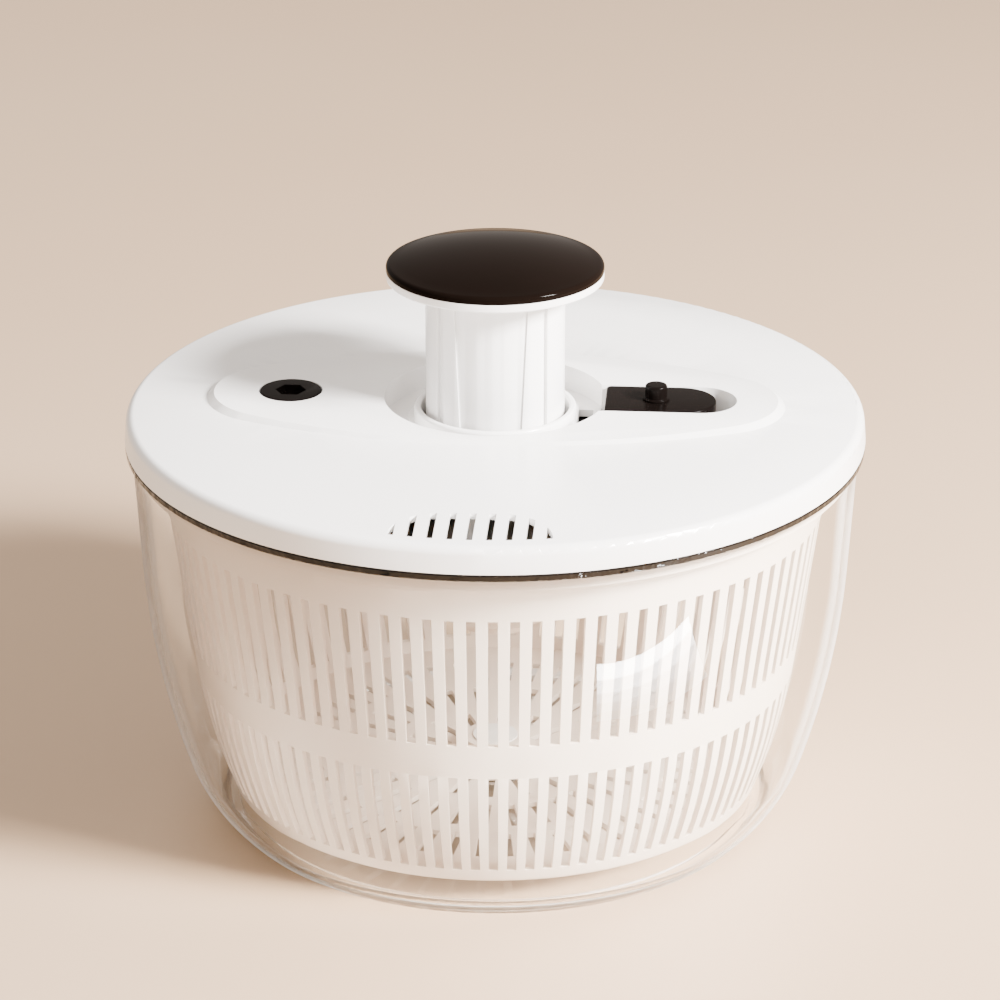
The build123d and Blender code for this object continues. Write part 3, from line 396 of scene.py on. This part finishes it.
class Piece:
    """One new mesh on its way into the scene."""

    def __init__(self, name: str) -> None:
        """Start an empty mesh.

        Args:
            name: the piece's name.
        """
        self.name = name
        self.work = bmesh.new()

    def turn(self, outline: list[Corner], segments: int, closed: bool = True) -> "Piece":
        """Turn an outline about the upright axis.

        Args:
            outline: radius and height of each corner, in millimetres.
            segments: steps round the full turn.
            closed: whether the last corner joins the first.

        Returns:
            The piece itself.
        """
        corners = [self.work.verts.new(mm(r, 0, z)) for r, z in outline]
        pairs = list(zip(corners, corners[1:])) + ([(corners[-1], corners[0])] if closed else [])
        edges = [self.work.edges.new(pair) for pair in pairs]
        bmesh.ops.spin(self.work, geom=corners + edges, cent=(0, 0, 0), axis=(0, 0, 1), dvec=(0, 0, 0),
                       angle=2 * pi, steps=segments, use_merge=True)
        bmesh.ops.remove_doubles(self.work, verts=self.work.verts, dist=1e-6)
        bmesh.ops.recalc_face_normals(self.work, faces=self.work.faces)
        return self

    def place(self, offset: Vector) -> "Piece":
        """Move the whole mesh.

        Args:
            offset: how far, in metres.

        Returns:
            The piece itself.
        """
        bmesh.ops.translate(self.work, verts=self.work.verts, vec=offset)
        return self

    def done(self, finish: bpy.types.Material, body: str, slot: str, replaced: str,
             sharp: float = 32.0) -> bpy.types.Object:
        """Turn the mesh into an object that stands for a CAD node.

        Args:
            finish: its material.
            body: the CAD body it rides on.
            slot: not used.
            replaced: the CAD node it stands for.
            sharp: angle in degrees over which an edge stays crisp.

        Returns:
            The finished object.
        """
        mesh = bpy.data.meshes.new(self.name)
        self.work.to_mesh(mesh)
        self.work.free()
        mesh.materials.append(finish)
        mesh.shade_smooth()
        mesh.set_sharp_from_angle(angle=radians(sharp))
        made = bpy.data.objects.new(self.name, mesh)
        bpy.context.scene.collection.objects.link(made)
        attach(made, body)
        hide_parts(replaced)
        LOG.info("%s: %d faces on %s", self.name, len(mesh.polygons), body)
        return made


def ease_edges(made: bpy.types.Object, width: float, angle: float = 38.0) -> None:
    """Round a piece's crisp edges a little, as a mould does.

    Args:
        made: the piece.
        width: width of the rounding in millimetres.
        angle: edges sharper than this many degrees are rounded.
    """
    bevel = made.modifiers.new("eased_edges", "BEVEL")
    bevel.width = width / PER_METRE
    bevel.segments = 2
    bevel.limit_method = "ANGLE"
    bevel.angle_limit = radians(angle)
    bevel.harden_normals = True
    bevel.use_clamp_overlap = True


def skin(node: str, body: str, slot: str, finish: bpy.types.Material, ease: float = 0.0) -> bpy.types.Object:
    """A joined-up, smooth copy of a CAD node's surface.

    Args:
        node: the CAD node.
        body: its body.
        slot: not used.
        finish: its material.
        ease: width of the edge rounding in millimetres, or 0.

    Returns:
        The new piece, which stands for the node.
    """
    piece = Piece(f"{node}_skin")
    piece.work.from_mesh(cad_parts[node].data)
    bmesh.ops.remove_doubles(piece.work, verts=piece.work.verts, dist=SKIN_WELD)
    bmesh.ops.dissolve_limit(piece.work, angle_limit=radians(FLAT_ANGLE), verts=piece.work.verts,
                             edges=piece.work.edges)
    made = piece.done(finish, body, slot, node)
    if ease:
        ease_edges(made, ease)
    return made


def dress(finish: bpy.types.Material, *nodes: str) -> None:
    """Give CAD nodes a finish.

    Args:
        finish: the material.
        nodes: the nodes' names.
    """
    for node in nodes:
        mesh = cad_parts[node].data
        mesh.materials.clear()
        mesh.materials.append(finish)
        LOG.info("%s: dressed", node)


# ---------------------------------------------------------------- sub-assemblies
@dataclass
class ClearBowl:
    """The clear outer bowl. Radii and heights in millimetres."""

    rim: Corner = (125.3, 137.7)
    knee: Corner = (122.9, 93.0)
    corner: Corner = (110.0, 23.0)
    foot: Corner = (95.7, 0.0)
    foot_width: float = 3.0
    wall: float = 2.4
    floor_top: float = 5.0
    bead: Corner = (127.45, 2.3)  # outer radius and height
    bead_edge: float = 0.4
    pivot: Corner = (5.0, 15.0)
    pivot_boss: Corner = (4.0, 2.5)  # width and height of the step round the pivot
    segments: int = 256
    wall_steps: int = 8
    side_steps: int = 18
    low_steps: int = 14
    crisp_angle: float = 20.0

    def outline(self) -> list[Corner]:
        """The wall's section, from the pivot's top round the outside and back.

        Returns:
            Radius and height of each corner.
        """
        run = Vector(self.knee) - Vector(self.rim)
        side = arc(self.knee, self.corner, tuple(run), self.side_steps)
        lean = Vector(side[-1]) - Vector(side[-2])
        low = arc(self.corner, self.foot, tuple(lean), self.low_steps)
        (bead_r, bead_h), edge = self.bead, self.bead_edge
        rim_z = self.rim[1]
        outer = [(bead_r - edge, rim_z), (bead_r, rim_z - edge), (bead_r, rim_z - bead_h + edge),
                 (bead_r - edge, rim_z - bead_h)]
        neck = Vector((self.rim[0], rim_z - bead_h - 0.3))
        upper = [tuple(neck.lerp(Vector(self.knee), step / self.wall_steps))
                 for step in range(self.wall_steps + 1)]
        wall = upper + side + low
        under = self.floor_top - self.wall
        foot_inner = self.foot[0] - self.foot_width
        base = [(foot_inner, 0.0), (foot_inner - 0.5, under), (0.0, under)]
        back = [self.inset(a, b) for a, b in zip(wall, wall[1:])]
        inner = [p for p in reversed(back) if p[1] > self.floor_top + 1.0]
        pivot_r, pivot_z = self.pivot
        boss_r, boss_z = pivot_r + self.pivot_boss[0], self.floor_top + self.pivot_boss[1]
        middle = [(0.0, pivot_z), (pivot_r - 1.0, pivot_z), (pivot_r, pivot_z - 1.0), (pivot_r, boss_z),
                  (boss_r, boss_z), (boss_r, self.floor_top)]
        toe = inner[0]
        heel = [(toe[0] - 6.0, self.floor_top), (toe[0] - 2.2, self.floor_top + 0.8)]
        lip = [(self.rim[0] - self.wall, rim_z - 0.3), (self.rim[0] - self.wall + 0.3, rim_z)]
        return middle + heel + inner + lip + outer + wall + base

    def inset(self, here: Corner, after: Corner) -> Corner:
        """The point one wall's thickness inside the outline."""
        along = (Vector(after) - Vector(here)).normalized()
        return tuple(Vector(here) + Vector((along.y, -along.x)) * self.wall)

    def build(self, palette: Palette) -> None:
        """Make the bowl, with painted shade on its rim bead.

        Args:
            palette: the finishes.
        """
        made = Piece("clear_bowl").turn(self.outline(), self.segments, closed=False).done(
            palette.clear, "bowl", "clear_plastic", "bowl", self.crisp_angle)
        # The bead's outer faces take the near-black painted shade finish.
        made.data.materials.append(palette.bead)
        bead_start = mm(0, 0, self.rim[1] - self.bead[1]).z - 1e-5
        for face in made.data.polygons:
            centre = face.center
            outside = Vector((centre.x, centre.y)).length > self.rim[0] / PER_METRE
            face.material_index = int(outside and centre.z > bead_start)


@dataclass
class SpinBasket:
    """The slotted basket and the bush under it."""

    ease: float = 0.35

    def build(self, palette: Palette) -> None:
        """Dress the basket and its bush."""
        skin("basket", "basket", "basket_plastic", palette.basket_white_painted_shade, self.ease)
        dress(palette.inner_white, "basket_pivot_bush")


@dataclass
class LidShell:
    """The lid's cover and what is fixed to it."""

    ease: float = 0.5
    collar_ease: float = 0.3

    def build(self, palette: Palette) -> None:
        """Make the skins and dress the hidden pieces.

        Args:
            palette: the finishes.
        """
        skin("lid_cover", "lid", "lid_plastic", palette.lid_white, self.ease)
        skin("guide_collar", "lid", "lid_plastic", palette.lid_white, self.collar_ease)
        skin("lid_underplate", "lid", "white_plastic", palette.basket_white_painted_shade, self.collar_ease)
        dress(palette.inner_white, "bearing_ring")
        dress(palette.steel, "lid_screws", "spring_seat")


@dataclass
class Knob:
    """The palm knob: a domed cap pressed into a white flange. Millimetres."""

    radius: float = 37.2
    bottom: float = 195.9
    top: float = 203.2
    side: float = 1.2
    edge: float = 1.7
    snap_ring: Point = (31.0, 32.5, 194.5)  # inner and outer radius, and height of its tip
    flange_ease: float = 0.3
    segments: int = 160
    dome_steps: int = 12
    crisp_angle: float = 50.0

    def cap_outline(self) -> list[Corner]:
        """Section of the cap, from the middle of its top to the middle of its underside.

        Returns:
            Radius and height of each corner.
        """
        shoulder_z = self.bottom + self.side + self.edge - 0.2
        start = (self.radius - self.edge, shoulder_z)
        dome_radius = (start[0] ** 2 + (self.top - shoulder_z) ** 2) / (2 * (self.top - shoulder_z))
        centre_z = self.top - dome_radius
        dome = []
        for step in range(self.dome_steps + 1):
            r = start[0] * step / self.dome_steps
            dome.append((r, centre_z + (dome_radius ** 2 - r ** 2) ** 0.5))
        rounding = [(self.radius - self.edge + self.edge * sin(a),
                     self.bottom + self.side + (self.edge - 0.2) * cos(a))
                    for a in (radians(15 * n) for n in range(1, 7))]
        inner, outer, tip = self.snap_ring
        return dome + rounding + [(self.radius, self.bottom + 0.15), (self.radius - 0.2, self.bottom),
                                  (outer, self.bottom), (outer, tip), (inner, tip), (inner, self.bottom + 2.0),
                                  (12.0, self.top - 2.4), (0.0, self.top - 2.0)]

    def build(self, palette: Palette) -> None:
        """Make the cap and dress the flange and its screws.

        Args:
            palette: the finishes.
        """
        Piece("knob_dome").turn(self.cap_outline(), self.segments, closed=False).done(
            palette.knob_black, "plunger", "black_plastic", "knob_cap", self.crisp_angle)
        skin("knob_flange", "plunger", "lid_plastic", palette.lid_white, self.flange_ease)
        dress(palette.steel, "knob_screws")


@dataclass
class Plunger:
    """The sliding tube under the knob, with its drive nut."""

    ease: float = 0.25

    def build(self, palette: Palette) -> None:
        """Make the tube's skin and dress the nut.

        Args:
            palette: the finishes.
        """
        skin("plunger_tube", "plunger", "lid_plastic", palette.lid_white, self.ease)
        dress(palette.inner_white, "drive_nut")
        dress(palette.steel, "nut_screws")


@dataclass
class Drive:
    """The drive plate with its well, and the spindle inside it."""

    ease: float = 0.3

    def build(self, palette: Palette) -> None:
        """Make the plate's skin and dress the rest.

        Args:
            palette: the finishes.
        """
        skin("drive_plate", "drive_plate", "white_plastic", palette.basket_white_painted_shade, self.ease)
        dress(palette.inner_white, "plate_retainer", "hub_cap", "spindle_bush", "clutch_ring", "spindle",
              "clutch_driver")
        dress(palette.wire, "spindle_clip")


@dataclass
class LockAndBrake:
    """The lock slider at the right and the brake button at the left."""

    ease: float = 0.2

    def build(self, palette: Palette) -> None:
        """Make the skins of the controls and dress what they work.

        Args:
            palette: the finishes.
        """
        skin("lock_slider", "lock", "black_plastic", palette.black, self.ease)
        skin("lock_button", "lock", "black_plastic", palette.black, self.ease)
        skin("brake_button", "brake", "black_plastic", palette.black, self.ease)
        dress(palette.black, "latch_plate")
        dress(palette.rubber, "brake_pad")


@dataclass
class CoilSpring:
    """A round-wire spring wound along Z. Millimetres."""

    node: str
    joint: str
    low: float
    high: float
    mean_radius: float
    wire_radius: float
    turns: int
    travel: float
    centre_x: float = 0.0
    steps_per_turn: int = 32
    wire_sides: int = 10
    crisp_angle: float = 60.0

    def build(self, palette: Palette) -> None:
        """Wind the wire and cap its ends.

        Args:
            palette: the finishes.
        """
        piece = Piece(f"{self.node}_wire")
        steps = self.turns * self.steps_per_turn
        rise = (self.high - self.low - 2 * self.wire_radius) / steps
        ring = bmesh.ops.create_circle(piece.work, cap_ends=False, segments=self.wire_sides,
                                       radius=self.wire_radius / PER_METRE, matrix=Matrix.Rotation(pi / 2, 4, "X"))
        bmesh.ops.translate(piece.work, verts=ring["verts"],
                            vec=mm(self.mean_radius, 0, self.low + self.wire_radius))
        bmesh.ops.spin(piece.work, geom=piece.work.verts[:] + piece.work.edges[:], cent=(0, 0, 0), axis=(0, 0, 1),
                       dvec=mm(0, 0, rise), angle=2 * pi * self.turns, steps=steps, use_merge=False)
        ends = [edge for edge in piece.work.edges if edge.is_boundary]
        bmesh.ops.holes_fill(piece.work, edges=ends, sides=0)
        bmesh.ops.recalc_face_normals(piece.work, faces=piece.work.faces)
        piece.place(mm(self.centre_x, 0, 0))
        coil = piece.done(palette.wire, "lid", "spring_steel", self.node, self.crisp_angle)
        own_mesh(coil)


# ---------------------------------------------------------------- studio
@dataclass
class Studio:
    """Pale floor, soft lights and the camera. Metres and degrees."""

    aim: Vector = field(default_factory=lambda: Vector((0.0, 0.0, 0.10)))
    floor_tones: tuple[Colour, Colour] = ((0.48, 0.335, 0.215), (0.49, 0.345, 0.225))
    room_colour: Colour = (1.0, 0.885, 0.795)
    room_strength: float = 0.80
    key_colour: Colour = (1.0, 0.965, 0.94)
    soft_colour: Colour = (1.0, 0.95, 0.90)
    card_place: Point = (0.194, -0.206, 0.003)
    card_size: tuple[float, float] = (0.135, 0.0115)
    card_turn: float = 33.7
    card_powers: tuple[float, ...] = (0.75, 0.34, 0.17, 0.08, 0.04)
    camera_place: Point = (0.08695, -1.24347, 0.6276)
    camera_pitch: float = 22.516
    camera_turn: float = 3.924
    lens: float = 139.5

    def floor(self) -> None:
        """Lay a plain floor."""
        piece = bmesh.new()
        bmesh.ops.create_grid(piece, x_segments=1, y_segments=1, size=4.0)
        mesh = bpy.data.meshes.new("floor")
        piece.to_mesh(mesh)
        piece.free()
        bench = NodeBench("floor_paint")
        bench.tint(bench.noise(3.0, 2.0), *self.floor_tones)
        bench.shader.inputs["Roughness"].default_value = 0.5
        mesh.materials.append(bench.material)
        ground = bpy.data.objects.new("floor", mesh)
        bpy.context.scene.collection.objects.link(ground)

    def panel(self, name: str, size: tuple[float, float], power: float) -> bpy.types.Object:
        """Make a flat light.

        Args:
            name: the light's name.
            size: its width and height.
            power: watts.

        Returns:
            The light, at the origin.
        """
        data = bpy.data.lights.new(name, "AREA")
        data.shape = "RECTANGLE"
        data.size, data.size_y = size
        data.energy = power
        made = bpy.data.objects.new(name, data)
        bpy.context.scene.collection.objects.link(made)
        return made

    def lamp(self, name: str, turn: float, height: float, reach: float, size: tuple[float, float], power: float,
             colour: Colour, mirrored: bool = True) -> None:
        """Hang a soft lamp that looks at the spinner.

        Args:
            name: the lamp's name.
            turn: degrees round from +X.
            height: degrees above the floor.
            reach: metres from the spinner.
            size: the lamp's width and height.
            power: watts.
            colour: its tint.
            mirrored: whether glossy surfaces show it.
        """
        made = self.panel(name, size, power)
        made.data.color = colour
        a, e = radians(turn), radians(height)
        made.location = self.aim + Vector((cos(e) * cos(a), cos(e) * sin(a), sin(e))) * reach
        made.rotation_euler = (self.aim - made.location).to_track_quat("-Z", "Y").to_euler()
        made.visible_glossy = mirrored

    def reflector(self) -> None:
        """Lay a row of narrow bright cards by the bowl, each fainter, which only glossy surfaces show."""
        across = Vector((-sin(radians(self.card_turn)), cos(radians(self.card_turn)), 0.0)) * self.card_size[1]
        for step, power in enumerate(self.card_powers):
            made = self.panel(f"card_{step}", self.card_size, power)
            made.location = Vector(self.card_place) + across * step
            made.rotation_euler = (radians(180), 0.0, radians(self.card_turn))
            made.visible_camera = False
            made.visible_diffuse = False
            made.visible_transmission = False

    def camera(self) -> None:
        """Place the camera."""
        data = bpy.data.cameras.new("camera")
        data.lens = self.lens
        data.sensor_width = 36.0
        made = bpy.data.objects.new("camera", data)
        made.location = self.camera_place
        made.rotation_euler = (radians(90 - self.camera_pitch), 0.0, radians(self.camera_turn))
        bpy.context.scene.collection.objects.link(made)
        bpy.context.scene.camera = made

    def build(self) -> None:
        """Set up the studio."""
        world = bpy.data.worlds.new("soft_room")
        world.use_nodes = True
        room = world.node_tree.nodes["Background"]
        room.inputs["Color"].default_value = (*self.room_colour, 1.0)
        room.inputs["Strength"].default_value = self.room_strength
        bpy.context.scene.world = world
        self.floor()
        self.lamp("key", turn=-25.0, height=33.0, reach=1.6, size=(0.36, 0.36), power=230.0,
                  colour=self.key_colour)
        self.reflector()
        self.lamp("fill", turn=-120.0, height=42.0, reach=2.2, size=(1.4, 1.0), power=14.0,
                  colour=self.soft_colour, mirrored=False)
        self.lamp("rim", turn=110.0, height=35.0, reach=2.0, size=(1.2, 0.6), power=14.0,
                  colour=self.soft_colour, mirrored=False)
        self.camera()


def main() -> None:
    """Build every sub-assembly in order."""
    logging.basicConfig(level=logging.INFO, format="%(name)s %(message)s")
    palette = make_palette()
    assemblies = [ClearBowl(), SpinBasket(), LidShell(), Plunger(), Knob(), Drive(), LockAndBrake(),
                  CoilSpring("return_spring", "plunger_slide", low=77.4, high=134.6, mean_radius=18.5,
                             wire_radius=0.75, turns=7, travel=46.0),
                  CoilSpring("brake_spring", "brake_press", low=136.5, high=145.0, mean_radius=6.2,
                             wire_radius=0.4, turns=4, travel=2.5, centre_x=-70.8)]
    for assembly in assemblies:
        assembly.build(palette)
        LOG.info("built %s", type(assembly).__name__)
    Studio().build()


if __name__ == "__main__":
    main()
